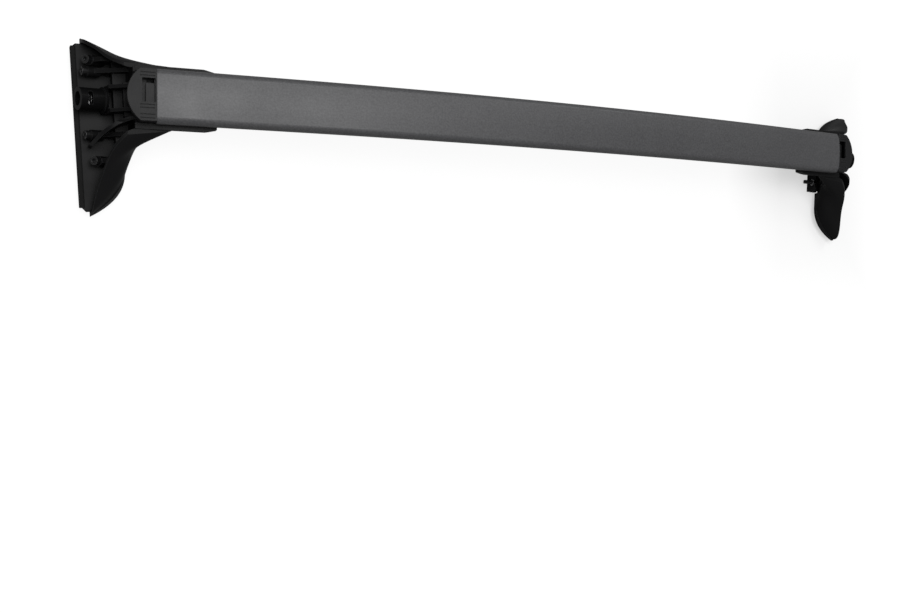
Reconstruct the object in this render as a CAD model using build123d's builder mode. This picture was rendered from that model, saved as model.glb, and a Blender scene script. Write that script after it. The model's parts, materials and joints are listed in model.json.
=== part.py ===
"""Crossbar of a roof rack: an arched hollow bar on two open clamp feet that grip a car's roof rails.

X runs along the bar, Y across it, Z up.  The origin is on the ground, midway between the feet.
Right-hand pieces are modelled, and the left-hand ones are their mirror images.
"""
import os
from math import cos, radians, sin, tan

from build123d import *

# Bar: a crowned hollow extrusion, straight at both ends and bent to an arch between them
bar_length = 1012.0
bar_width = 60.0
bar_depth = 22.0
bar_crown = 2.4
bar_edge_radius = 7.6
bar_wall = 2.2
bar_web = 2.0
bar_cell = 22.0
bar_end_tilt = 5.0
bar_straight = 125.0

# Fits, and a length that outruns every piece of a foot
slide_clearance = 0.4
seat_clearance = 0.3
bolt_clearance = 0.5
through = 400.0

# Foot: flared shell that turns outwards with the rail by the toe angle
toe = 3.0
foot_shift = 4.0
foot_wall = 4.0
collar_length = 66.0
collar_half_width = 35.0
collar_floor = 5.7
collar_lip = 7.0
collar_edge_radius = 6.0
collar_land = 1.0
collar_land_width = 24.0
collar_taper = 14.0
collar_taper_depth = 3.5
collar_land_slope = 45.0
neck_end = 22.0
skirt_outer = 80.0
rim_band = 1.2
rim_band_height = 5.0
web_thickness = 5.0
rib_thickness = 4.0
rib_spread = 13.0
rib_top = -17.0
web_top = -30.0
shoe_web_top = -41.0
cheek_thickness = 4.0
cheek_path = ((18.0, -24.0), (48.0, -36.0), (67.0, -53.0))
cheek_top = ((18.0, -9.5), (41.0, -10.5), (51.0, -14.0), (60.0, -25.0), (66.0, -38.0), (70.0, -52.0))

# Slot screws that hold the foot to the bar
slot_screw_spacing = 15.5
slot_screw_inset = collar_length / 2
slot_screw_radius = 3.0
slot_head_radius = 5.3
slot_head_height = 3.2
foot_travel = 18.0
nut_plate_length = 34.0
nut_plate_thickness = 5.0

# End cap in the end of the bar
cap_tongue = 31.0
cap_straight = 17.0
cap_half_width = 28.5
cap_plate = 3.5
cap_drop = 1.0
cap_skirt = 13.0
cap_skirt_wall = 2.5
cap_plug_depth = 14.0
cap_window_start = 1.5
cap_window_end = 15.5
cap_window_width = 26.0
cap_window_offset = 5.0
cap_block_length = 11.5
cap_block_drop = 5.2
cap_block_side_gap = 4.5
cap_groove_width = 0.9
cap_groove_depth = 1.0
cap_groove_inset = 2.0
cap_grooves = (-25.5, -21.5, -14.5, -11.0, 20.5, 24.0)

# Shoe, lip and pad under the foot
shoe_thickness = 4.0
shoe_inner = 35.3
shoe_notch = 10.0
shoe_outer = 78.0
shoe_front = -120.0
shoe_rear = 61.0
lip_reach = 2.7
lip_cover = 3.0
lip_top = 0.8
lip_drop = 3.4
recess_depth = 2.0
recess_width = 15.0
recess_inner = 45.0
recess_radius = 3.0
recess_ys = (-26.5, 16.5)
drain_hole_radius = 3.5
drain_hole_place = 56.0
pad_thickness = 3.0
pad_rear = -56.0
pad_margin = 2.0
pad_outer = 70.0

# Clamp jaw and its tie bolts
bolt_tilt = 15.0
bolt_radius = 3.0
bolt_head_radius = 5.0
bolt_head_height = 6.0
bolt_seat = 66.0
bolt_seat_level = -51.0
tie_bolt_ys = (-40.0, 31.0)
jaw_leg_thickness = 8.0
jaw_width = 16.0
jaw_inner = 22.5
jaw_top = -57.5
jaw_toe = 5.0
jaw_front = -54.0
jaw_rear = 36.0
jaw_bottom = -75.0
jaw_room = 3.0
pocket_top = -50.0
notch_top = -39.0
notch_front = -17.0
notch_rear = 13.0
notch_radius = 4.0
bolt_length = 60.0
bolt_socket = 2.9
bolt_socket_depth = 3.0
nut_radius = 5.6
nut_height = 5.0
nut_inset = 3.0
boss_depth = 14.0

# Shoe screws and lock housing
shoe_screw_tilt = 45.0
shoe_screw_places = ((60.0, -69.0), (63.0, 43.5))
shoe_screw_level = -50.0
boss_radius = 6.0
lock_tilt = 15.0
lock_face = 78.0
lock_level = -40.0
lock_across = -1.5
lock_length = 30.0
lock_radius = 12.5
lock_bore = 8.0
lock_bore_depth = 13.0
lock_flange = 2.0
lock_flange_thickness = 3.0
lock_slot_width = 14.0
lock_slot_length = 5.0
lock_slot_setback = 8.0
receiver_radius = 7.0
receiver_slot = 4.0
receiver_height = 7.0
shoe_boss_depth = 8.0
shoe_screw_length = 16.0

# Horizontal outlines of the foot, from the rim up to the neck.  Each row gives the level below the
# bar's end, the inner edge, where the front corner starts, bends and ends, and the same at the rear.
foot_stations = (
    (-65.0, 31.0, -80.0, -110.0, (70.0, -129.0), 34.0, 54.0, (70.0, 68.0)),
    (-54.0, 26.0, -62.0, -95.0, (69.0, -128.0), 31.0, 49.0, (68.0, 67.0)),
    (-46.0, 21.5, -52.0, -79.0, (67.0, -119.0), 28.0, 45.0, (66.0, 64.5)),
    (-38.0, 16.0, -44.0, -63.0, (61.0, -97.0), 26.0, 41.5, (61.0, 59.5)),
    (-30.0, 9.0, -41.0, -53.0, (55.0, -80.5), 26.0, 37.5, (56.0, 53.5)),
    (-22.0, -3.0, -39.5, -48.5, (50.0, -67.5), 27.5, 35.0, (50.0, 46.5)),
    (-15.0, -14.0, -39.0, -44.0, (42.0, -55.0), 29.5, 33.0, (42.0, 40.0)),
    (-10.0, -20.0, -38.8, -40.5, (31.0, -44.5), 30.5, 31.5, (31.0, 34.5)),
)

rim = foot_stations[0]
bar_end = bar_length / 2
bar_end_height = -jaw_bottom
end_slope = radians(bar_end_tilt)
outward = Vector(cos(end_slope), 0, -sin(end_slope))
end_up = Vector(sin(end_slope), 0, cos(end_slope))


def toed_plane(level):
    """Level plane of the foot at the bar's end, turned by the toe angle: local x points outboard."""
    turn = radians(toe)
    return Plane(
        origin=(bar_end, foot_shift, bar_end_height + level),
        x_dir=(cos(turn), -sin(turn), 0),
        z_dir=(0, 0, 1),
    )


def toed_side_plane():
    """Upright plane along the toed outboard direction: local x outboard, local y up."""
    flat = toed_plane(0)
    return Plane(origin=flat.origin, x_dir=flat.x_dir, z_dir=-flat.y_dir)


def toed_axis_plane(outboard, across, level, tilt):
    """Plane whose normal points outboard and up by the tilt, at a place in the toed frame."""
    flat = toed_plane(0)
    lean = radians(tilt)
    origin = flat.origin + flat.x_dir * outboard + flat.y_dir * across + Vector(0, 0, level)
    return Plane(
        origin=origin,
        x_dir=flat.y_dir,
        z_dir=flat.x_dir * cos(lean) + Vector(0, 0, sin(lean)),
    )


def end_section_plane(distance):
    """Plane square to the bar's right end, this far outboard of it: local x is Y, local y is up."""
    origin = Vector(bar_end, 0, bar_end_height) + outward * distance
    return Plane(origin=origin, x_dir=(0, 1, 0), z_dir=outward)


def end_floor_plane(offset):
    """Plane along the bar's right end at this height over its axis: local x outboard, local y is Y."""
    origin = Vector(bar_end, 0, bar_end_height) + end_up * offset
    return Plane(origin=origin, x_dir=outward, z_dir=end_up)


def bar_outline(grow):
    """Crowned outline of the bar, grown all round."""
    half = bar_width / 2
    shoulder = bar_depth / 2 - bar_crown
    with BuildSketch() as outline:
        with BuildLine():
            ThreePointArc((-half, shoulder), (0, bar_depth / 2), (half, shoulder))
            Line((half, shoulder), (half, -shoulder))
            ThreePointArc((half, -shoulder), (0, -bar_depth / 2), (-half, -shoulder))
            Line((-half, -shoulder), (-half, shoulder))
        make_face()
        fillet(outline.vertices(), bar_edge_radius)
        offset(amount=grow, mode=Mode.REPLACE)
    return outline.sketch


def foot_outline(station, inset, inner_edge):
    """One horizontal outline of the foot: curved corners run from the inner edge to the two tips."""
    front_start, front_bend, front_tip, rear_start, rear_bend, rear_tip = station[2:]
    front = front_tip[1] + inset
    rear = rear_tip[1] - inset
    with BuildSketch() as outline:
        with BuildLine():
            Line((inner_edge, rear_start), (inner_edge, front_start))
            Bezier((inner_edge, front_start), (inner_edge, front_bend + inset), (front_tip[0], front))
            Line((front_tip[0], front), (skirt_outer, front))
            Line((skirt_outer, front), (skirt_outer, rear))
            Line((skirt_outer, rear), (rear_tip[0], rear))
            Bezier((rear_tip[0], rear), (inner_edge, rear_bend - inset), (inner_edge, rear_start))
        make_face()
    return outline.sketch


def hollow_outline(station, gap):
    """Outline of the foot's hollow at one station, taken in by a gap all round."""
    return foot_outline(station, foot_wall + gap, max(station[1] + foot_wall, neck_end) + gap)


def write(piece, name):
    piece.part.label = name
    export_step(piece.part, f"parts/{name}.step")


def write_pair(piece, name):
    """Write a right-hand piece and its mirror image on the left."""
    write(piece, f"right_{name}")
    with BuildPart() as twin:
        mirror(piece.part, about=Plane.YZ)
    write(twin, f"left_{name}")


os.makedirs("parts", exist_ok=True)

# Bar
straight_run = bar_straight * cos(end_slope)
arch_half = bar_end - straight_run
arch_radius = arch_half / sin(end_slope)
shoulder_height = bar_end_height + bar_straight * sin(end_slope)
arch_rise = arch_radius * (1 - cos(end_slope))
slot_screw_places = [slot_screw_inset - slot_screw_spacing / 2, slot_screw_inset + slot_screw_spacing / 2]

with BuildPart() as bar:
    with BuildLine(Plane.XZ) as bar_path:
        Line((-bar_end, bar_end_height), (-arch_half, shoulder_height))
        ThreePointArc(
            (-arch_half, shoulder_height),
            (0, shoulder_height + arch_rise),
            (arch_half, shoulder_height),
        )
        Line((arch_half, shoulder_height), (bar_end, bar_end_height))
    with BuildSketch(Plane(origin=bar_path.line @ 0, x_dir=(0, 1, 0), z_dir=bar_path.line % 0)):
        add(bar_outline(0))
        add(bar_outline(-bar_wall), mode=Mode.SUBTRACT)
        with Locations((-bar_cell / 2, 0), (bar_cell / 2, 0)):
            Rectangle(bar_web, bar_depth - bar_wall)
    sweep(path=bar_path.line)

    with BuildSketch(end_floor_plane(-bar_depth / 2)):
        with Locations(*[(-place, 0) for place in slot_screw_places]):
            Circle(slot_screw_radius + bolt_clearance)
    holes = extrude(amount=2 * bar_wall, both=True, mode=Mode.PRIVATE)
    add(holes, mode=Mode.SUBTRACT)
    add(mirror(holes, about=Plane.YZ, mode=Mode.PRIVATE), mode=Mode.SUBTRACT)
write(bar, "bar")

# Nut plate inside the bar's middle cell
cell_floor = -bar_depth / 2 + bar_wall
with BuildPart() as nut_plate:
    with BuildSketch(end_floor_plane(cell_floor + seat_clearance)):
        with Locations((-slot_screw_inset, 0)):
            Rectangle(nut_plate_length, bar_cell - bar_web - 2 * seat_clearance)
        with Locations(*[(-place, 0) for place in slot_screw_places]):
            Circle(slot_screw_radius, mode=Mode.SUBTRACT)
    extrude(amount=nut_plate_thickness)
write_pair(nut_plate, "nut_plate")

# Slot screws: button heads below the collar floor, shanks up into the nut plate
tray_level = -bar_depth / 2 - slide_clearance
head_seat = tray_level - collar_floor / 2
with BuildPart() as slot_screws:
    with BuildSketch(end_floor_plane(head_seat)):
        with Locations(*[(-place, 0) for place in slot_screw_places]):
            Circle(slot_head_radius)
    extrude(amount=-slot_head_height)
    chamfer(slot_screws.faces().sort_by(Axis((0, 0, 0), end_up))[:2].edges(), slot_head_height / 3)
    with BuildSketch(end_floor_plane(head_seat)):
        with Locations(*[(-place, 0) for place in slot_screw_places]):
            Circle(slot_screw_radius)
    extrude(amount=cell_floor + seat_clearance + nut_plate_thickness - head_seat)
write_pair(slot_screws, "slot_screws")

# End cap: a plug in the middle cell and a D-shaped tongue with a window and a down-turned rim
cap_top = bar_depth / 2 - cap_drop
with BuildPart() as end_cap:
    with BuildSketch(end_floor_plane(cap_top)) as tongue:
        with BuildLine():
            Polyline((cap_straight, -cap_half_width), (0, -cap_half_width), (0, cap_half_width),
                     (cap_straight, cap_half_width))
            ThreePointArc((cap_straight, cap_half_width), (cap_tongue, 0), (cap_straight, -cap_half_width))
        make_face()
    extrude(amount=-cap_skirt)
    with BuildSketch(end_floor_plane(cap_top - cap_plate)):
        add(tongue.sketch_local)
        offset(amount=-cap_skirt_wall, mode=Mode.REPLACE)
    extrude(amount=-cap_skirt, mode=Mode.SUBTRACT)
    with BuildSketch(end_floor_plane(cap_top)):
        with Locations(((cap_window_start + cap_window_end) / 2, cap_window_offset)):
            Rectangle(cap_window_end - cap_window_start, cap_window_width)
    extrude(amount=-cap_plate, mode=Mode.SUBTRACT)
    block_width = cap_window_width - cap_block_side_gap
    with BuildSketch(end_floor_plane(cap_top - cap_block_drop)):
        with Locations((cap_block_length / 2, cap_window_offset - cap_block_side_gap / 2)):
            Rectangle(cap_block_length, block_width)
    extrude(amount=cap_block_drop - cap_skirt)
    with BuildSketch(end_floor_plane(cap_top)):
        with Locations(*[(cap_groove_inset + cap_window_end / 2, across) for across in cap_grooves]):
            Rectangle(cap_window_end, cap_groove_width)
    extrude(amount=-cap_groove_depth, mode=Mode.SUBTRACT)
    with BuildSketch(end_section_plane(0)):
        Rectangle(bar_cell - bar_web - 2 * seat_clearance, bar_depth - 2 * bar_wall - bar_crown)
    extrude(amount=-cap_plug_depth)
write_pair(end_cap, "end_cap")

# Everything outboard of the foot's open side
side_plane = toed_side_plane()
with BuildPart() as open_side:
    with BuildSketch(side_plane):
        with BuildLine():
            mouth = Spline(*[(station[4][0], station[0]) for station in foot_stations])
            Polyline(mouth @ 1, (mouth @ 1 + Vector(0, 2 * foot_wall)), (through, 0),
                     (through, -through), (rim[4][0], -through), mouth @ 0)
        make_face()
    extrude(amount=through, both=True)

# Foot form: the solid outside shape of the foot, cut off along its open side
collar_bottom = tray_level - collar_floor
shoe_level = rim[0]
shoe_top = shoe_level + shoe_thickness
with BuildPart() as foot_form:
    for station in foot_stations:
        with BuildSketch(toed_plane(station[0])):
            add(foot_outline(station, 0, station[1]))
    loft()
    with BuildSketch(toed_plane(shoe_level)):
        add(foot_outline(rim, -rim_band, rim[1] - rim_band))
    extrude(amount=rim_band_height)
    add(open_side.part, mode=Mode.SUBTRACT)
    with BuildSketch(end_section_plane(-collar_length)) as collar:
        with Locations((0, (collar_bottom - collar_lip) / 2)):
            Rectangle(2 * collar_half_width, -collar_lip - collar_bottom)
        fillet(collar.vertices().group_by(Axis.Y)[0], collar_edge_radius)
    extrude(amount=collar_length + neck_end)
    with BuildSketch(end_floor_plane(0)):
        for side in (-1, 1):
            with BuildLine():
                Polyline((-collar_length, side * (collar_half_width - collar_taper_depth)),
                         (collar_taper - collar_length, side * collar_half_width),
                         (-collar_length, side * collar_half_width), close=True)
            make_face()
    extrude(amount=-bar_depth, mode=Mode.SUBTRACT)

# Lock housing: a flanged barrel that takes a lock cylinder, with a cross slot in its top
lock_plane = toed_axis_plane(lock_face, lock_across, lock_level, lock_tilt)
receiver_plane = lock_plane.offset(-lock_bore_depth - receiver_height)
with BuildPart() as lock_housing:
    with BuildSketch(lock_plane):
        Circle(lock_radius)
    extrude(amount=-lock_length)
    with BuildSketch(lock_plane.offset(-lock_length)):
        Circle(lock_radius + lock_flange)
    extrude(amount=lock_flange_thickness)
    with BuildSketch(lock_plane):
        Circle(lock_bore)
    extrude(amount=-lock_bore_depth, mode=Mode.SUBTRACT)
    with BuildSketch(receiver_plane):
        Circle(receiver_radius + seat_clearance)
    extrude(amount=receiver_height, mode=Mode.SUBTRACT)
    with BuildSketch(lock_plane.offset(-lock_slot_setback)):
        with Locations((0, lock_radius)):
            Rectangle(lock_slot_width, 2 * (lock_radius - lock_bore / 2))
    extrude(amount=-lock_slot_length, mode=Mode.SUBTRACT)
    with BuildSketch(toed_plane(shoe_top + seat_clearance)):
        Rectangle(2 * through, 2 * through)
    extrude(amount=-through, mode=Mode.SUBTRACT)
write_pair(lock_housing, "lock_housing")

# Lock receiver: a slotted disc in the step at the bottom of the housing's bore
with BuildPart() as lock_receiver:
    with BuildSketch(receiver_plane):
        Circle(receiver_radius)
        Rectangle(2 * receiver_radius, receiver_slot, mode=Mode.SUBTRACT)
    extrude(amount=receiver_height)
    with BuildSketch(receiver_plane):
        Circle(receiver_radius)
    extrude(amount=receiver_height / 3)
write_pair(lock_receiver, "lock_receiver")

# Foot core: the form taken in by half a wall, which the webs inside the foot run out to
with BuildPart() as foot_core:
    for station in foot_stations:
        with BuildSketch(toed_plane(station[0])):
            add(foot_outline(station, foot_wall / 2, station[1] + foot_wall / 2))
    loft()
    add(open_side.part, mode=Mode.SUBTRACT)

# Webs inside the foot: one under each screw boss, two ribs to the lock housing, and the bosses
lean = radians(bolt_tilt)
boss_back = (bolt_seat - boss_depth * cos(lean), bolt_seat_level - boss_depth * sin(lean))
lock_lean = radians(lock_tilt)
lock_back = (lock_face - lock_length * cos(lock_lean), lock_level - lock_length * sin(lock_lean))
flange_reach = lock_radius + lock_flange
flange_top = (lock_back[0] - flange_reach * sin(lock_lean), lock_back[1] + flange_reach * cos(lock_lean))
web_floor = shoe_top + seat_clearance
flange_foot = (lock_back[0] + (lock_back[1] - web_floor) * tan(lock_lean), web_floor)
with BuildPart() as foot_webs:
    for across in tie_bolt_ys:
        with BuildSketch(side_plane.offset(-across - web_thickness / 2)):
            Polygon((neck_end - foot_wall, web_top), (neck_end, pocket_top), (boss_back[0], web_floor),
                    (bolt_seat - boss_radius, web_floor), (bolt_seat, bolt_seat_level), align=None)
        extrude(amount=web_thickness)
        with BuildSketch(toed_axis_plane(bolt_seat, across, bolt_seat_level, bolt_tilt)):
            Circle(boss_radius)
        extrude(amount=-boss_depth)
    for outboard, across in shoe_screw_places:
        with BuildSketch(side_plane.offset(-across - web_thickness / 2)):
            Polygon((neck_end, shoe_web_top), (neck_end, web_floor), (outboard - boss_radius, web_floor),
                    (outboard, shoe_screw_level), (outboard - 2 * boss_radius, shoe_web_top), align=None)
        extrude(amount=web_thickness)
        with BuildSketch(toed_axis_plane(outboard, across, shoe_screw_level, shoe_screw_tilt)):
            Circle(boss_radius)
        extrude(amount=-shoe_boss_depth)
    for across in (lock_across - rib_spread, lock_across + rib_spread):
        with BuildSketch(side_plane.offset(-across - rib_thickness / 2)):
            Polygon((neck_end - foot_wall, rib_top), (neck_end - foot_wall, pocket_top),
                    (neck_end + foot_wall, pocket_top), flange_foot, flange_top, align=None)
        extrude(amount=rib_thickness)
    pocket_width = jaw_rear - jaw_front + 2 * (jaw_room + foot_wall)
    with BuildSketch(toed_plane(web_floor)):
        with Locations((0, (jaw_front + jaw_rear) / 2)):
            Rectangle(2 * (shoe_inner + seat_clearance + foot_wall), pocket_width)
    extrude(amount=pocket_top + foot_wall - web_floor)
    with BuildSketch(toed_plane(web_floor)):
        with Locations((0, (notch_front + notch_rear) / 2)):
            Rectangle(2 * (neck_end + 2 * foot_wall), notch_rear - notch_front + 2 * foot_wall)
    extrude(amount=notch_top + foot_wall - web_floor)
    add(foot_core.part, mode=Mode.INTERSECT)
    with BuildSketch(toed_plane(web_floor)):
        Rectangle(through, through)
    extrude(amount=-through, mode=Mode.SUBTRACT)
    for outboard, across in shoe_screw_places:
        seat = toed_axis_plane(outboard, across, shoe_screw_level, shoe_screw_tilt)
        with BuildSketch(seat):
            Circle(bolt_radius + bolt_clearance)
        extrude(amount=-through, mode=Mode.SUBTRACT)
        with BuildSketch(seat.offset(-shoe_boss_depth)):
            Circle(boss_radius + seat_clearance)
        extrude(amount=-through, mode=Mode.SUBTRACT)

# Cheek: a tall curved wall from the neck out to the front tie bolt
with BuildPart() as cheek:
    with BuildSketch(toed_plane(web_floor)):
        with BuildLine():
            ThreePointArc(*cheek_path)
        trace(line_width=cheek_thickness)
    extrude(amount=-web_floor)
    with BuildSketch(side_plane):
        with BuildLine():
            crest = Spline(*cheek_top)
            Polyline(crest @ 1, (cheek_top[-1][0], web_floor), (cheek_top[0][0], web_floor), crest @ 0)
        make_face()
    extrude(amount=through, both=True, mode=Mode.INTERSECT)

# Foot: the form hollowed out, with the bar's tray, the screw slot and the jaw's pocket
with BuildPart() as foot:
    add(foot_form.part)
    for station in foot_stations:
        with BuildSketch(toed_plane(station[0])):
            add(hollow_outline(station, 0))
    loft(mode=Mode.SUBTRACT)
    add(foot_webs.part)
    add(cheek.part)
    for across in tie_bolt_ys:
        with BuildSketch(toed_axis_plane(bolt_seat, across, bolt_seat_level, bolt_tilt)):
            Circle(bolt_radius + bolt_clearance)
        extrude(amount=-through, mode=Mode.SUBTRACT)
    with BuildSketch(end_section_plane(0)):
        add(bar_outline(slide_clearance))
    extrude(amount=through, both=True, mode=Mode.SUBTRACT)
    with BuildSketch(toed_plane(shoe_level)):
        with Locations((0, (jaw_front + jaw_rear) / 2)):
            Rectangle(2 * (shoe_inner + seat_clearance), jaw_rear - jaw_front + 2 * jaw_room)
    extrude(amount=pocket_top - shoe_level, mode=Mode.SUBTRACT)
    with BuildSketch(toed_plane(shoe_level)):
        with Locations((0, (notch_front + notch_rear) / 2)):
            RectangleRounded(2 * (neck_end + foot_wall), notch_rear - notch_front, notch_radius)
    extrude(amount=notch_top - shoe_level, mode=Mode.SUBTRACT)
    with BuildSketch(end_floor_plane(collar_bottom)):
        with Locations((-collar_length / 2, 0)):
            Rectangle(collar_length, collar_land_width)
    extrude(amount=-collar_land, taper=collar_land_slope)
    with BuildSketch(end_floor_plane(head_seat)):
        with Locations((-slot_screw_inset, 0)):
            SlotCenterToCenter(slot_screw_spacing + foot_travel, 2 * (slot_head_radius + bolt_clearance))
    extrude(amount=-collar_floor, mode=Mode.SUBTRACT)
    with BuildSketch(end_floor_plane(tray_level)):
        with Locations((-slot_screw_inset, 0)):
            SlotCenterToCenter(slot_screw_spacing + foot_travel, 2 * (slot_screw_radius + bolt_clearance))
    extrude(amount=collar_floor, both=True, mode=Mode.SUBTRACT)
write_pair(foot, "foot")

# Shoe: the plate inside the foot's rim, with recesses below and pads above for its screws
with BuildPart() as shoe:
    for station in foot_stations:
        with BuildSketch(toed_plane(station[0])):
            add(hollow_outline(station, seat_clearance))
    loft()
    with BuildSketch(toed_plane(shoe_level)):
        Polygon((shoe_inner, rim[4][1]), (rim[4][0], rim[4][1]), (shoe_outer, shoe_front),
                (shoe_outer, shoe_rear), (rim[4][0], rim[7][1]), (shoe_inner, rim[7][1]), align=None)
    extrude(amount=shoe_thickness, mode=Mode.INTERSECT)
    for outboard, across in shoe_screw_places:
        seat = toed_axis_plane(outboard, across, shoe_screw_level, shoe_screw_tilt)
        with BuildSketch(seat.offset(-shoe_boss_depth - seat_clearance)):
            Circle(boss_radius)
        extrude(amount=-boss_depth)
    with BuildSketch(toed_plane(shoe_level)):
        Rectangle(through, through)
    extrude(amount=-through, mode=Mode.SUBTRACT)
    with BuildSketch(toed_plane(shoe_level)):
        for across in recess_ys:
            with Locations(((recess_inner + shoe_outer - lip_cover) / 2, across)):
                RectangleRounded(shoe_outer - lip_cover - recess_inner, recess_width, recess_radius)
    extrude(amount=recess_depth, mode=Mode.SUBTRACT)
    with BuildSketch(toed_plane(shoe_level)):
        with Locations(*[(drain_hole_place, across) for across in tie_bolt_ys]):
            Circle(drain_hole_radius)
        for across in tie_bolt_ys:
            with Locations((shoe_inner, across)):
                Rectangle(2 * shoe_notch, 2 * (bolt_radius + bolt_clearance))
    extrude(amount=shoe_thickness, mode=Mode.SUBTRACT)
    for outboard, across in shoe_screw_places:
        with BuildSketch(toed_axis_plane(outboard, across, shoe_screw_level, shoe_screw_tilt)):
            Circle(bolt_radius)
        extrude(amount=-shoe_screw_length, mode=Mode.SUBTRACT)
write_pair(shoe, "shoe")

# Shoe screws
with BuildPart() as shoe_screws:
    for outboard, across in shoe_screw_places:
        seat = toed_axis_plane(outboard, across, shoe_screw_level, shoe_screw_tilt)
        with BuildSketch(seat):
            Circle(bolt_head_radius)
        extrude(amount=bolt_head_height)
        with BuildSketch(seat):
            Circle(bolt_radius)
        extrude(amount=-shoe_screw_length)
        with BuildSketch(seat.offset(bolt_head_height)):
            RegularPolygon(bolt_socket, 6)
        extrude(amount=-bolt_socket_depth, mode=Mode.SUBTRACT)
write_pair(shoe_screws, "shoe_screws")

# Rubber lip that wraps the shoe's outer edge and hangs over the rail's side
with BuildPart() as lip:
    with BuildSketch(side_plane.offset(-shoe_rear)) as lip_profile:
        with BuildLine():
            Polyline(
                (shoe_outer, shoe_top),
                (shoe_outer - lip_cover, shoe_top),
                (shoe_outer - lip_cover, shoe_top + lip_top / 2),
                (shoe_outer - lip_cover / 2, shoe_top + lip_top),
                (shoe_outer + lip_reach, shoe_top + lip_top),
                (shoe_outer + lip_reach, shoe_level - lip_drop),
                (shoe_outer, shoe_level - lip_drop),
                (shoe_outer - lip_cover, shoe_level - lip_top),
                (shoe_outer - lip_cover, shoe_level),
                (shoe_outer, shoe_level),
                close=True,
            )
        make_face()
    extrude(amount=shoe_rear - shoe_front)
write_pair(lip, "lip")

# Foam pad under the front of the shoe
with BuildPart() as pad:
    with BuildSketch(toed_plane(shoe_level)):
        add(foot_outline(rim, foot_wall + pad_margin, shoe_inner + pad_margin))
        with Locations((pad_outer - skirt_outer / 2, pad_rear - through / 2)):
            Rectangle(skirt_outer, through, mode=Mode.INTERSECT)
    extrude(amount=-pad_thickness)
write_pair(pad, "pad")

# Clamp jaw: an angle bar that hooks the rail's inner side
nut_seat = (bolt_seat - jaw_inner) / cos(lean) - nut_inset
with BuildPart() as jaw:
    with BuildSketch(side_plane.offset(-jaw_rear)):
        with BuildLine():
            Polyline(
                (jaw_inner, jaw_top),
                (jaw_inner + jaw_leg_thickness, jaw_top),
                (jaw_inner + jaw_leg_thickness, jaw_bottom + jaw_toe),
                (jaw_inner + jaw_width, jaw_bottom + jaw_toe),
                (jaw_inner + jaw_width, jaw_bottom),
                (jaw_inner, jaw_bottom),
                close=True,
            )
        make_face()
    extrude(amount=jaw_rear - jaw_front)
    for across in tie_bolt_ys:
        seat = toed_axis_plane(bolt_seat, across, bolt_seat_level, bolt_tilt)
        with BuildSketch(seat):
            Circle(bolt_radius + seat_clearance)
        extrude(amount=-through, mode=Mode.SUBTRACT)
        with BuildSketch(seat.offset(-nut_seat)):
            Circle(nut_radius + bolt_clearance)
        extrude(amount=-bolt_length, mode=Mode.SUBTRACT)
write_pair(jaw, "jaw")

# Nuts in the jaw's spot faces, and the tie bolts that draw the jaw through them
with BuildPart() as jaw_nuts:
    for across in tie_bolt_ys:
        seat = toed_axis_plane(bolt_seat, across, bolt_seat_level, bolt_tilt)
        with BuildSketch(seat.offset(-nut_seat)):
            RegularPolygon(nut_radius, 6)
            Circle(bolt_radius + seat_clearance, mode=Mode.SUBTRACT)
        extrude(amount=-nut_height)
write_pair(jaw_nuts, "jaw_nuts")

for place, across in zip(("front", "rear"), tie_bolt_ys):
    seat = toed_axis_plane(bolt_seat, across, bolt_seat_level, bolt_tilt)
    with BuildPart() as tie_bolt:
        with BuildSketch(seat):
            Circle(bolt_head_radius)
        extrude(amount=bolt_head_height)
        with BuildSketch(seat):
            Circle(bolt_radius)
        extrude(amount=-bolt_length)
        with BuildSketch(seat.offset(bolt_head_height)):
            RegularPolygon(bolt_socket, 6)
        extrude(amount=-bolt_socket_depth, mode=Mode.SUBTRACT)
    write_pair(tie_bolt, f"{place}_tie_bolt")
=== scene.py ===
# %% [markdown]
# A crossbar of a roof rack stands on its two open clamp feet.  The imported model brings every rigid
# piece at its true size and place, so this lesson is about looks: the powder coat on the bar, the
# black mouldings, the blackened screws, the soft pads, and the light and camera of the photograph.
# We load the model first.

# %% Load the imported model
import json
import math

import bmesh
import bpy
from mathutils import Matrix, Vector


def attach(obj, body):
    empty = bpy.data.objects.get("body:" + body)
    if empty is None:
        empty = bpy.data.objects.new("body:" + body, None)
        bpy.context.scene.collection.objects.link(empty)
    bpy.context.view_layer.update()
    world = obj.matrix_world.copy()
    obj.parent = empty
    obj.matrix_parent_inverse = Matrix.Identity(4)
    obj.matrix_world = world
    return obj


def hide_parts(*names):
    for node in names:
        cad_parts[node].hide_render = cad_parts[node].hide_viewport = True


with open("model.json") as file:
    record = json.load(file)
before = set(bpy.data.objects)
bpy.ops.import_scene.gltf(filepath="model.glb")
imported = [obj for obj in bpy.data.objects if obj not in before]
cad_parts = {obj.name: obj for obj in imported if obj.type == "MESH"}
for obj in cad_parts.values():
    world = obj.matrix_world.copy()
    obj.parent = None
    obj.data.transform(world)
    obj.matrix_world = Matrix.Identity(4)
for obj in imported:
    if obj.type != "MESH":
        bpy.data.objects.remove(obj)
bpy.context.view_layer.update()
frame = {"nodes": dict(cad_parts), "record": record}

nodes = frame["nodes"]

# %% [markdown]
# Most of the pieces are moulded or coated, and their surfaces are never quite even: a fine grain
# from the mould or the powder, and broad faint patches where hands and air have been.  Both are
# needed in several materials, so each is a node group that is built once.  A group could hold the
# whole shader, but an exporter reads the shader best in the material, so the groups give out only
# masks, heights and normals.

# %% Helpers for node groups
def new_group(name, inputs, outputs):
    """An empty shader node group: inputs are numbers (name, default), outputs are (name, kind)."""
    group = bpy.data.node_groups.new(name, "ShaderNodeTree")
    for label, value in inputs:
        socket = group.interface.new_socket(label, in_out="INPUT", socket_type="NodeSocketFloat")
        socket.default_value = value
    for label, kind in outputs:
        group.interface.new_socket(label, in_out="OUTPUT", socket_type=kind)
    start = group.nodes.new("NodeGroupInput")
    end = group.nodes.new("NodeGroupOutput")
    return group, start, end


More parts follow.
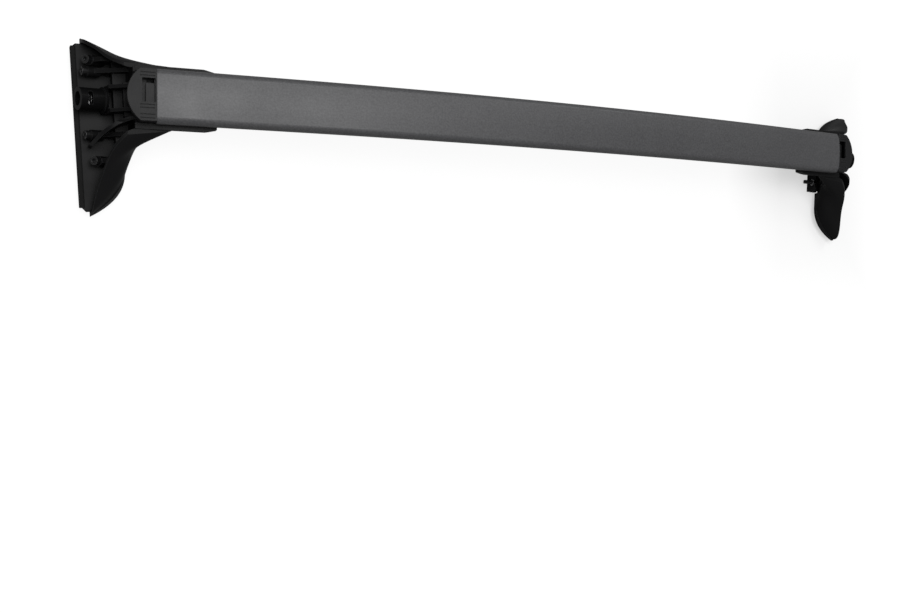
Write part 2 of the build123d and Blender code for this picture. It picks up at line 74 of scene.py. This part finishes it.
def math_node(tree, operation, first, second, clamp=False):
    """A math node whose two inputs are sockets or plain numbers; returns its output."""
    node = tree.nodes.new("ShaderNodeMath")
    node.operation = operation
    node.use_clamp = clamp
    for place, value in enumerate((first, second)):
        if hasattr(value, "is_linked"):
            tree.links.new(value, node.inputs[place])
        else:
            node.inputs[place].default_value = value
    return node.outputs[0]


print("helpers for node groups ready")

# %% [markdown]
# The grain is a fine noise with larger soft cells in it.  The cells follow the noise's scale at a
# little under half, so one number sets both.  The noise alone, with its contrast raised, also gives
# the specks of colour.

# %% Grain group
cell_scale_share = 0.45
speck_low, speck_high = 0.32, 0.68
grain_group, start, end = new_group(
    "surface grain",
    [("Scale", 1500.0), ("Coarse Share", 0.3)],
    [("Grain", "NodeSocketFloat"), ("Speck", "NodeSocketFloat")],
)
where = grain_group.nodes.new("ShaderNodeTexCoord")
fine = grain_group.nodes.new("ShaderNodeTexNoise")
fine.inputs["Detail"].default_value = 3.0
grain_group.links.new(where.outputs["Object"], fine.inputs["Vector"])
grain_group.links.new(start.outputs["Scale"], fine.inputs["Scale"])
cells = grain_group.nodes.new("ShaderNodeTexVoronoi")
cells.feature = "SMOOTH_F1"
cell_scale = math_node(grain_group, "MULTIPLY", start.outputs["Scale"], cell_scale_share)
grain_group.links.new(where.outputs["Object"], cells.inputs["Vector"])
grain_group.links.new(cell_scale, cells.inputs["Scale"])
coarse = math_node(grain_group, "MULTIPLY", cells.outputs["Distance"], start.outputs["Coarse Share"])
height = math_node(grain_group, "ADD", fine.outputs["Fac"], coarse)
grain_group.links.new(height, end.inputs["Grain"])
contrast = grain_group.nodes.new("ShaderNodeMapRange")
contrast.inputs["From Min"].default_value = speck_low
contrast.inputs["From Max"].default_value = speck_high
grain_group.links.new(fine.outputs["Fac"], contrast.inputs["Value"])
grain_group.links.new(contrast.outputs["Result"], end.inputs["Speck"])
print("made group", grain_group.name)

# %% [markdown]
# The patches are much broader than the grain, a few centimetres across.  They carry the roughness
# from a low to a high value, because a handled surface differs more in gloss than in colour.

# %% Patches group
patch_scale = 14.0
patch_low, patch_high = 0.3, 0.7
patch_group, start, end = new_group(
    "handling patches",
    [("Scale", patch_scale), ("Low", 0.35), ("High", 0.5)],
    [("Value", "NodeSocketFloat"), ("Mask", "NodeSocketFloat")],
)
where = patch_group.nodes.new("ShaderNodeTexCoord")
clouds = patch_group.nodes.new("ShaderNodeTexNoise")
clouds.inputs["Detail"].default_value = 5.0
clouds.inputs["Roughness"].default_value = 0.6
patch_group.links.new(where.outputs["Object"], clouds.inputs["Vector"])
patch_group.links.new(start.outputs["Scale"], clouds.inputs["Scale"])
spread = patch_group.nodes.new("ShaderNodeMapRange")
spread.inputs["From Min"].default_value = patch_low
spread.inputs["From Max"].default_value = patch_high
patch_group.links.new(clouds.outputs["Fac"], spread.inputs["Value"])
patch_group.links.new(start.outputs["Low"], spread.inputs["To Min"])
patch_group.links.new(start.outputs["High"], spread.inputs["To Max"])
patch_group.links.new(spread.outputs["Result"], end.inputs["Value"])
patch_group.links.new(clouds.outputs["Fac"], end.inputs["Mask"])
print("made group", patch_group.name)

# %% [markdown]
# Edges tell the eye how a thing was made: a moulding has small radii that catch the light, and a
# coat wears thin on them.  Modelling every radius would be slow, so a Bevel node looks at the
# surface nearby and gives a rounded normal.  Where that normal differs from the flat one there is
# an edge, and the difference is the mask for lighter edges, which are partly wear and partly a
# painted highlight.

# %% Edge group
edge_radius, edge_gain = 0.0008, 3.0
edge_group, start, end = new_group(
    "rubbed edges",
    [("Radius", edge_radius), ("Gain", edge_gain)],
    [("Edge", "NodeSocketFloat"), ("Normal", "NodeSocketVector")],
)
rounding = edge_group.nodes.new("ShaderNodeBevel")
rounding.samples = 6
edge_group.links.new(start.outputs["Radius"], rounding.inputs["Radius"])
flat = edge_group.nodes.new("ShaderNodeNewGeometry")
dot = edge_group.nodes.new("ShaderNodeVectorMath")
dot.operation = "DOT_PRODUCT"
edge_group.links.new(rounding.outputs["Normal"], dot.inputs[0])
edge_group.links.new(flat.outputs["Normal"], dot.inputs[1])
apart = math_node(edge_group, "SUBTRACT", 1.0, dot.outputs["Value"])
# Lighter edges: partly wear, partly a painted highlight where the small radii would catch the light.
worn_and_highlit = math_node(edge_group, "MULTIPLY", apart, start.outputs["Gain"], clamp=True)
edge_group.links.new(worn_and_highlit, end.inputs["Edge"])
edge_group.links.new(rounding.outputs["Normal"], end.inputs["Normal"])
print("made group", edge_group.name)

# %% [markdown]
# One builder then makes each finish: a base colour with faint variation, a lighter edge that is
# partly wear and partly a painted highlight, a roughness that follows the patches and a bump from the
# grain.  What changes from finish to finish is a handful of values, so they stand side by side in the
# calls below and can be compared.

# %% Finish builder
speck_share, patch_share = 0.7, 0.3


def place_group(tree, group, **values):
    """A node group placed in a material, with its inputs set by name."""
    node = tree.nodes.new("ShaderNodeGroup")
    node.node_tree = group
    for label, value in values.items():
        node.inputs[label.replace("_", " ").title()].default_value = value
    return node


def blend_colours(tree, factor, first, second):
    """Mix of two colours; each is a plain colour or a socket."""
    mix = tree.nodes.new("ShaderNodeMix")
    mix.data_type = "RGBA"
    tree.links.new(factor, mix.inputs["Factor"])
    for label, value in (("A", first), ("B", second)):
        socket = next(s for s in mix.inputs if s.name == label and s.type == "RGBA")
        if hasattr(value, "is_linked"):
            tree.links.new(value, socket)
        else:
            socket.default_value = (*value, 1.0)
    return next(s for s in mix.outputs if s.type == "RGBA")


def finish_material(name, dark, light, edge, rough, grain_scale, grain_depth,
                    metallic=0.0, coarse_share=0.3, specular=0.5):
    """A finish: dark and light are the two base colours, edge is the lighter edge colour, partly wear
    and partly painted highlight, rough a pair.
    """
    material = bpy.data.materials.new(name)
    material.use_nodes = True
    tree = material.node_tree
    shader = tree.nodes["Principled BSDF"]
    shader.inputs["Metallic"].default_value = metallic
    shader.inputs["Specular IOR Level"].default_value = specular
    grain = place_group(tree, grain_group, scale=grain_scale, coarse_share=coarse_share)
    patches = place_group(tree, patch_group, low=rough[0], high=rough[1])
    edges = place_group(tree, edge_group, radius=edge_radius, gain=edge_gain)
    specks = math_node(tree, "MULTIPLY", grain.outputs["Speck"], speck_share)
    clouding = math_node(tree, "MULTIPLY", patches.outputs["Mask"], patch_share)
    tone = math_node(tree, "ADD", specks, clouding)
    # The edge colour is partly wear and partly a painted highlight along the edges.
    colour = blend_colours(tree, edges.outputs["Edge"], blend_colours(tree, tone, dark, light), edge)
    tree.links.new(colour, shader.inputs["Base Color"])
    tree.links.new(patches.outputs["Value"], shader.inputs["Roughness"])
    bump = tree.nodes.new("ShaderNodeBump")
    bump.inputs["Strength"].default_value = 1.0
    bump.inputs["Distance"].default_value = grain_depth
    tree.links.new(grain.outputs["Grain"], bump.inputs["Height"])
    tree.links.new(edges.outputs["Normal"], bump.inputs["Normal"])
    tree.links.new(bump.outputs["Normal"], shader.inputs["Normal"])
    print("made finish", name)
    return material


# %% [markdown]
# The bar's coat is the only grey one: its powder grain is coarse and it still has some sheen.  The
# mouldings are nearly black with little sheen, so that the light of the surround doesn't lift them.

# %% Coat and mouldings
# Each edge colour below is partly wear and partly a painted highlight.
finishes = {
    "bar_coat": finish_material(
        "bar powder coat",
        dark=(0.028, 0.028, 0.03), light=(0.058, 0.058, 0.061), edge=(0.06, 0.06, 0.062),
        rough=(0.42, 0.52), grain_scale=480.0, grain_depth=0.00006, specular=0.48,
    ),
    "foot_plastic": finish_material(
        "foot moulding",
        dark=(0.003, 0.003, 0.0032), light=(0.006, 0.006, 0.0063), edge=(0.03, 0.03, 0.031),
        rough=(0.36, 0.48), grain_scale=1500.0, grain_depth=0.00002, specular=0.08,
    ),
    "shoe_plastic": finish_material(
        "shoe moulding",
        dark=(0.003, 0.003, 0.0032), light=(0.006, 0.006, 0.0063), edge=(0.014, 0.014, 0.0145),
        rough=(0.42, 0.55), grain_scale=1500.0, grain_depth=0.00002, specular=0.09,
    ),
    "cap_plastic": finish_material(
        "end plate moulding",
        dark=(0.005, 0.005, 0.0053), light=(0.009, 0.009, 0.0095), edge=(0.045, 0.045, 0.046),
        rough=(0.36, 0.48), grain_scale=2000.0, grain_depth=0.00001, specular=0.14,
    ),
    "lock_plastic": finish_material(
        "lock barrel moulding",
        dark=(0.002, 0.002, 0.0021), light=(0.005, 0.005, 0.0053), edge=(0.03, 0.03, 0.031),
        rough=(0.3, 0.42), grain_scale=2000.0, grain_depth=0.00001, specular=0.04,
    ),
}
print("coat and mouldings:", len(finishes), "finishes")

# %% [markdown]
# The rest are the metals, the rubber and the foam.  Only the small fittings are bright steel: the
# bolts and the shoe's screws are blackened, and the jaws are painted.

# %% Metals and soft materials
finishes.update({
    "black_screw": finish_material(
        "blackened screw",
        dark=(0.004, 0.004, 0.0042), light=(0.008, 0.008, 0.0084), edge=(0.05, 0.05, 0.052),
        rough=(0.22, 0.34), grain_scale=900.0, grain_depth=0.000006, specular=0.3,
    ),
    "steel": finish_material(
        "bright steel",
        dark=(0.5, 0.5, 0.51), light=(0.62, 0.62, 0.63), edge=(0.75, 0.75, 0.75),
        rough=(0.2, 0.32), grain_scale=700.0, grain_depth=0.000004, metallic=1.0,
    ),
    "rubber": finish_material(
        "lip rubber",
        dark=(0.003, 0.003, 0.003), light=(0.006, 0.006, 0.006), edge=(0.012, 0.012, 0.012),
        rough=(0.6, 0.75), grain_scale=1200.0, grain_depth=0.00003, specular=0.1,
    ),
    "foam": finish_material(
        "pad foam",
        dark=(0.005, 0.005, 0.005), light=(0.02, 0.02, 0.02), edge=(0.025, 0.025, 0.025),
        rough=(0.75, 0.9), grain_scale=650.0, grain_depth=0.0003, coarse_share=1.0, specular=0.15,
    ),
    "jaw_paint": finish_material(
        "jaw paint",
        dark=(0.005, 0.005, 0.0052), light=(0.01, 0.01, 0.0105), edge=(0.04, 0.04, 0.041),
        rough=(0.42, 0.55), grain_scale=1100.0, grain_depth=0.00003, specular=0.15,
    ),
})
for part in frame["record"]["subparts"]:
    piece = nodes[part["node"]]
    piece.data.materials.clear()
    piece.data.materials.append(finishes[part["material_slot"]])

# %% [markdown]
# Three kinds of piece need more shape than their plain solids have: the foam pads, the rubber lips
# and the threaded ends of the tie bolts.  Thin webs at the bottom of two kinds of opening are added
# too.  All are made in the model's frame with their place in the mesh.  Each foot is turned with its
# rail by three degrees, so a small function carries a point of the foot's own frame (outboard,
# across, up from the bar's end) to the model's frame, on either side.

# %% The feet's own frame
bar_end, bar_end_height, foot_shift = 506.0, 75.0, 4.0
toe = math.radians(3.0)
sides = (("left", -1), ("right", 1))


def foot_point(sign, outboard, across, level):
    """A place in a foot's frame, in millimetres, as a point; sign is 1 on the right, -1 on the left."""
    along = bar_end + outboard * math.cos(toe) + across * math.sin(toe)
    rearward = foot_shift - outboard * math.sin(toe) + across * math.cos(toe)
    return Vector((sign * along, rearward, bar_end_height + level)) / 1000


def new_piece(name, shape, slot, body, replaced=()):
    """Turn a bmesh into a piece with a finish that rides on a body."""
    bmesh.ops.recalc_face_normals(shape, faces=shape.faces)
    mesh = bpy.data.meshes.new(name)
    shape.to_mesh(mesh)
    shape.free()
    mesh.materials.append(finishes[slot])
    piece = bpy.data.objects.new(name, mesh)
    bpy.context.scene.collection.objects.link(piece)
    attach(piece, body)
    if replaced:
        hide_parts(*replaced)
    print("made", name, "with", len(mesh.polygons), "faces")
    return piece


print("right foot's frame starts at", [round(c, 3) for c in foot_point(1, 0, 0, 0)])

# %% [markdown]
# A foam pad is cut from sheet, so its lower edges are soft rather than sharp.  The outline is taken
# from the plain solid it replaces.  Rings that shrink towards the middle while they sink round the
# edge off, which a single flat face could not do.  Each ring is an inset in metres and a share of
# the pad's depth.

# %% Foam pads
pad_rings = ((0.0, 0.0), (0.0, 0.55), (0.0003, 0.8), (0.0009, 0.94), (0.003, 1.0))
underside_depth = 0.0001


def solid_outline(node):
    """Corners of a plain slab's underside in order, its middle, and its lowest and highest level."""
    place = nodes[node].matrix_world
    corners = [place @ corner.co for corner in nodes[node].data.vertices]
    low = min(corner.z for corner in corners)
    high = max(corner.z for corner in corners)
    ring = {(round(c.x, 6), round(c.y, 6)) for c in corners if c.z < low + underside_depth}
    centre = Vector((sum(c[0] for c in ring), sum(c[1] for c in ring))) / len(ring)
    ring = sorted(ring, key=lambda c: math.atan2(c[1] - centre.y, c[0] - centre.x))
    return [Vector(corner) for corner in ring], centre, low, high


for side, _ in sides:
    ring, centre, low, high = solid_outline(side + "_pad")
    shape = bmesh.new()
    loops = []
    for inset, sink in pad_rings:
        level = high + (low - high) * sink
        places = [corner + (centre - corner).normalized() * inset for corner in ring]
        loops.append([shape.verts.new((spot.x, spot.y, level)) for spot in places])
    for outer, inner in zip(loops, loops[1:]):
        for k in range(len(outer)):
            following = (k + 1) % len(outer)
            shape.faces.new((outer[k], outer[following], inner[following], inner[k]))
    shape.faces.new(loops[0])
    bottom = shape.faces.new(loops[-1])
    bmesh.ops.poke(shape, faces=[bottom])
    pad = new_piece(side + "_foam_pad", shape, "foam", side + "_foot", [side + "_pad"])

# %% [markdown]
# The lip is a moulded rubber strip that wraps the shoe's outer edge and is thickest below it.  Its
# section, in outboard distance and level, is drawn once and run along the foot.  The edges that meet
# at three of its corners, on the outer side and underneath, are rounded with a bevel.

# %% Rubber lips
lip_section = ((78.0, -61.0), (75.0, -61.0), (75.0, -60.6), (76.5, -60.2), (80.7, -60.2),
               (80.7, -68.4), (78.0, -68.4), (75.0, -65.8), (75.0, -65.0), (78.0, -65.0))
lip_soft_corners = (4, 5, 6)
lip_front, lip_rear, lip_radius = -120.0, 61.0, 0.0009


def round_edges(shape, edges, radius, segments):
    """Round some edges of a bmesh."""
    bmesh.ops.bevel(shape, geom=edges, offset=radius, segments=segments, profile=0.5,
                    affect="EDGES", material=-1)


for side, sign in sides:
    shape = bmesh.new()
    near = [shape.verts.new(foot_point(sign, out, lip_front, level)) for out, level in lip_section]
    far = [shape.verts.new(foot_point(sign, out, lip_rear, level)) for out, level in lip_section]
    shape.faces.new(near)
    shape.faces.new(list(reversed(far)))
    for k in range(len(near)):
        following = (k + 1) % len(near)
        shape.faces.new((near[k], far[k], far[following], near[following]))
    soft = {end[k] for end in (near, far) for k in lip_soft_corners}
    round_edges(shape, [edge for edge in shape.edges if soft & set(edge.verts)], lip_radius, 3)
    new_piece(side + "_rubber_lip", shape, "rubber", side + "_foot", [side + "_lip"])

# %% [markdown]
# The window in each end plate is a pocket for a latch.  No daylight shows through it in the
# photograph, so a thin moulded web is taken to close its bottom.  The bar's end slopes down by five
# degrees, so the web is laid out along that slope.

# %% Pocket webs
end_slope = math.radians(5.0)
web_outline = ((10.0, -9.0), (27.0, -9.0), (27.9, 3.0), (25.6, 14.5), (23.2, 20.5), (10.0, 20.5))
web_rise, web_thickness, web_radius = -2.5, 1.2, 0.0003


def end_point(sign, outboard, across, rise):
    """A place along the bar's end, in millimetres, as a point: rise is square to the end's slope."""
    along = bar_end + outboard * math.cos(end_slope) + rise * math.sin(end_slope)
    level = bar_end_height - outboard * math.sin(end_slope) + rise * math.cos(end_slope)
    return Vector((sign * along, across, level)) / 1000


for side, sign in sides:
    shape = bmesh.new()
    corners = [shape.verts.new(end_point(sign, out, across, web_rise)) for out, across in web_outline]
    web = shape.faces.new(corners)
    raised = bmesh.ops.extrude_face_region(shape, geom=[web])["geom"]
    upper = [part for part in raised if isinstance(part, bmesh.types.BMVert)]
    lift = end_point(sign, 0, 0, web_thickness) - end_point(sign, 0, 0, 0)
    bmesh.ops.translate(shape, vec=lift, verts=upper)
    round_edges(shape, list(shape.edges), web_radius, 2)
    new_piece(side + "_pocket_web", shape, "cap_plastic", "bar")

# %% [markdown]
# Each tie bolt passes down through a slot at the shoe's inner edge.  The photograph shows no
# daylight there either, so a web under a millimetre thick closes the bottom of each slot, under the
# bolt.

# %% Slot webs
bolt_places = (("front", -40.0), ("rear", 31.0))
slot_inner, slot_outer, slot_half = 35.3, 45.4, 3.5
slot_web_bottom, slot_web_top = -64.9, -64.0
for side, sign in sides:
    for place, across in bolt_places:
        shape = bmesh.new()
        for corner in bmesh.ops.create_cube(shape, size=1.0)["verts"]:
            out = slot_inner if corner.co.x < 0 else slot_outer
            reach = across + math.copysign(slot_half, corner.co.y)
            level = slot_web_bottom if corner.co.z < 0 else slot_web_top
            corner.co = foot_point(sign, out, reach, level)
        new_piece(f"{side}_{place}_slot_web", shape, "shoe_plastic", side + "_foot")

# %% [markdown]
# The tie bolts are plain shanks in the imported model.  The ends that stick out past the jaws show
# their thread, so a zigzag profile is spun once round each bolt's axis.  Rings look much the same as
# a helix at a millimetre's pitch, and they close cleanly.

# %% Threads
bolt_seat, bolt_seat_level, bolt_tilt = 66.0, -51.0, math.radians(15.0)
thread_start, thread_end, thread_pitch = 34.0, 59.8, 1.0
crest, root = 3.12, 2.9
thread_steps = 24
turns = int((thread_end - thread_start) / thread_pitch)
for side, sign in sides:
    for place, across in bolt_places:
        seat = foot_point(sign, bolt_seat, across, bolt_seat_level)
        inner = foot_point(sign, bolt_seat - math.cos(bolt_tilt), across,
                           bolt_seat_level - math.sin(bolt_tilt))
        axis = (inner - seat).normalized()
        outwards = axis.cross(Vector((0, 1, 0))).normalized()
        shape = bmesh.new()
        profile = []
        for k in range(2 * turns + 1):
            radius = crest if k % 2 else root
            spot = seat + axis * (thread_start + k * thread_pitch / 2) / 1000 + outwards * radius / 1000
            profile.append(shape.verts.new(spot))
        edges = [shape.edges.new(pair) for pair in zip(profile, profile[1:])]
        bmesh.ops.spin(shape, geom=profile + edges, cent=seat, axis=axis, dvec=(0, 0, 0),
                       angle=2 * math.pi, steps=thread_steps, use_merge=True)
        new_piece(f"{side}_{place}_thread", shape, "black_screw", side + "_foot")

# %% [markdown]
# The photograph looks down from above the left end, so that end is large and the bar runs away to
# the right.  A camera could be pointed by eye, but its place was worked out from the bar's edges,
# so the numbers go in as they are: a place, a tilt from straight down and a small turn.

# %% Camera
image_width, focal_pixels = 920.0, 1000.0
camera_place = Vector((-0.6888, -0.2176, 1.2109))
lean = math.radians(25.99)
turn = math.radians(-0.68)
forward = Vector((math.sin(lean) * math.cos(turn), math.sin(turn), -math.cos(lean) * math.cos(turn)))
right = forward.cross(Vector((0, 1, 0))).normalized()
up = right.cross(forward)
camera_data = bpy.data.cameras.new("camera")
camera_data.sensor_fit = "HORIZONTAL"
camera_data.sensor_width = 36.0
camera_data.lens = focal_pixels / image_width * camera_data.sensor_width
camera_data.clip_end = 50.0
camera = bpy.data.objects.new("camera", camera_data)
camera.matrix_world = Matrix((
    (right.x, up.x, -forward.x, camera_place.x),
    (right.y, up.y, -forward.y, camera_place.y),
    (right.z, up.z, -forward.z, camera_place.z),
    (0, 0, 0, 1),
))
bpy.context.scene.collection.objects.link(camera)
bpy.context.scene.camera = camera
print("camera lens", round(camera_data.lens, 2), "mm")

# %% [markdown]
# The part was photographed on white.  Turning the lamps up until the floor burns out would also
# wash out the black parts, so the floor glows for the camera instead.  Other rays see a greyer
# paper, so little light is thrown back up into the black parts.

# %% Floor
floor_half = 12.0
glow_strength = 1.05
grey_paper, white_paper = (0.3, 0.3, 0.3), (0.8, 0.8, 0.8)
floor_mesh = bpy.data.meshes.new("floor")
sheet = bmesh.new()
bmesh.ops.create_grid(sheet, x_segments=1, y_segments=1, size=floor_half)
sheet.to_mesh(floor_mesh)
sheet.free()
floor = bpy.data.objects.new("floor", floor_mesh)
bpy.context.scene.collection.objects.link(floor)
paper = bpy.data.materials.new("white floor")
paper.use_nodes = True
tree = paper.node_tree
tree.nodes.remove(tree.nodes["Principled BSDF"])
matte = tree.nodes.new("ShaderNodeBsdfDiffuse")
glow = tree.nodes.new("ShaderNodeEmission")
glow.inputs["Strength"].default_value = glow_strength
seen = tree.nodes.new("ShaderNodeLightPath")
rays = math_node(tree, "MAXIMUM", seen.outputs["Is Camera Ray"], seen.outputs["Is Transmission Ray"])
tree.links.new(blend_colours(tree, rays, grey_paper, white_paper), matte.inputs["Color"])
floor_mesh.materials.append(paper)
print("floor laid at height 0")

# %% [markdown]
# A glow everywhere would hide the soft shadow.  So its share is smaller close to the bar and the feet,
# smallest by the right foot, and nearly full further off: the floor's shadow there is partly cast by
# the lamps and partly painted by this share, which is set by place.  How far off a place is comes from
# its distance beside the bar, or past the bar's ends, where it counts for more.

# %% Share of the glow, which paints part of the floor's shadow
end_reach, end_weight = 0.53, 1.6
close_by, far_off, far_share = 0.1, 0.3, 0.97
right_foot_from, right_foot_to = 0.36, 0.47
painted_shadow_share_near_bar, painted_shadow_share_right_foot = 0.85, 0.5
position = tree.nodes.new("ShaderNodeTexCoord")
split = tree.nodes.new("ShaderNodeSeparateXYZ")
tree.links.new(position.outputs["Object"], split.inputs["Vector"])
beside = math_node(tree, "ABSOLUTE", split.outputs["Y"], 0.0)
from_middle = math_node(tree, "ABSOLUTE", split.outputs["X"], 0.0)
past_end = math_node(tree, "SUBTRACT", from_middle, end_reach)
beyond = math_node(tree, "MULTIPLY", past_end, end_weight)
# Painted shadow: the glow's share drops close to the bar and most by the right foot, so the floor there
# is darker by place as well as by cast shadow.
lowest = tree.nodes.new("ShaderNodeMapRange")
lowest.inputs["From Min"].default_value = right_foot_from
lowest.inputs["From Max"].default_value = right_foot_to
lowest.inputs["To Min"].default_value = painted_shadow_share_near_bar
lowest.inputs["To Max"].default_value = painted_shadow_share_right_foot
tree.links.new(split.outputs["X"], lowest.inputs["Value"])
away = tree.nodes.new("ShaderNodeMapRange")
away.interpolation_type = "SMOOTHSTEP"
away.inputs["From Min"].default_value = close_by
away.inputs["From Max"].default_value = far_off
away.inputs["To Max"].default_value = far_share
tree.links.new(math_node(tree, "MAXIMUM", beside, beyond), away.inputs["Value"])
tree.links.new(lowest.outputs["Result"], away.inputs["To Min"])
share = tree.nodes.new("ShaderNodeMixShader")
tree.links.new(math_node(tree, "MULTIPLY", rays, away.outputs["Result"]), share.inputs["Fac"])
tree.links.new(matte.outputs["BSDF"], share.inputs[1])
tree.links.new(glow.outputs["Emission"], share.inputs[2])
tree.links.new(share.outputs["Shader"], tree.nodes["Material Output"].inputs["Surface"])
print("floor glows from a share of", painted_shadow_share_right_foot, "to", far_share)

# %% [markdown]
# Soft studio light: an even pale surround, a large soft box high over the left end, which the bar's
# coat mirrors as a broad sheen that fades along the bar, and a weaker one behind the right end.

# %% Lights
surround_strength = 0.45
world = bpy.data.worlds.new("studio")
bpy.context.scene.world = world
world.use_nodes = True
surround = world.node_tree.nodes["Background"]
surround.inputs["Color"].default_value = (1.0, 1.0, 1.0, 1.0)
surround.inputs["Strength"].default_value = surround_strength


def soft_box(name, place, target, size, power):
    """A rectangular lamp at a place, turned to a target."""
    lamp = bpy.data.lights.new(name, "AREA")
    lamp.shape = "RECTANGLE"
    lamp.size, lamp.size_y = size
    lamp.energy = power
    holder = bpy.data.objects.new(name, lamp)
    holder.location = place
    holder.rotation_mode = "QUATERNION"
    holder.rotation_quaternion = (Vector(target) - Vector(place)).to_track_quat("-Z", "Y")
    bpy.context.scene.collection.objects.link(holder)


soft_box("overhead box", place=(-0.5, 0.3, 2.4), target=(-0.2, 0.0, 0.0), size=(1.6, 1.4), power=46.0)
soft_box("rear box", place=(1.3, 1.5, 2.0), target=(0.2, 0.0, 0.0), size=(0.9, 0.9), power=12.0)
bpy.context.scene.view_settings.view_transform = "Standard"
print("lit by", len(bpy.data.lights), "soft boxes and the surround")

# %% [markdown]
# Last, a line is printed when the scene is built.

# %% Finish
print("scene built")
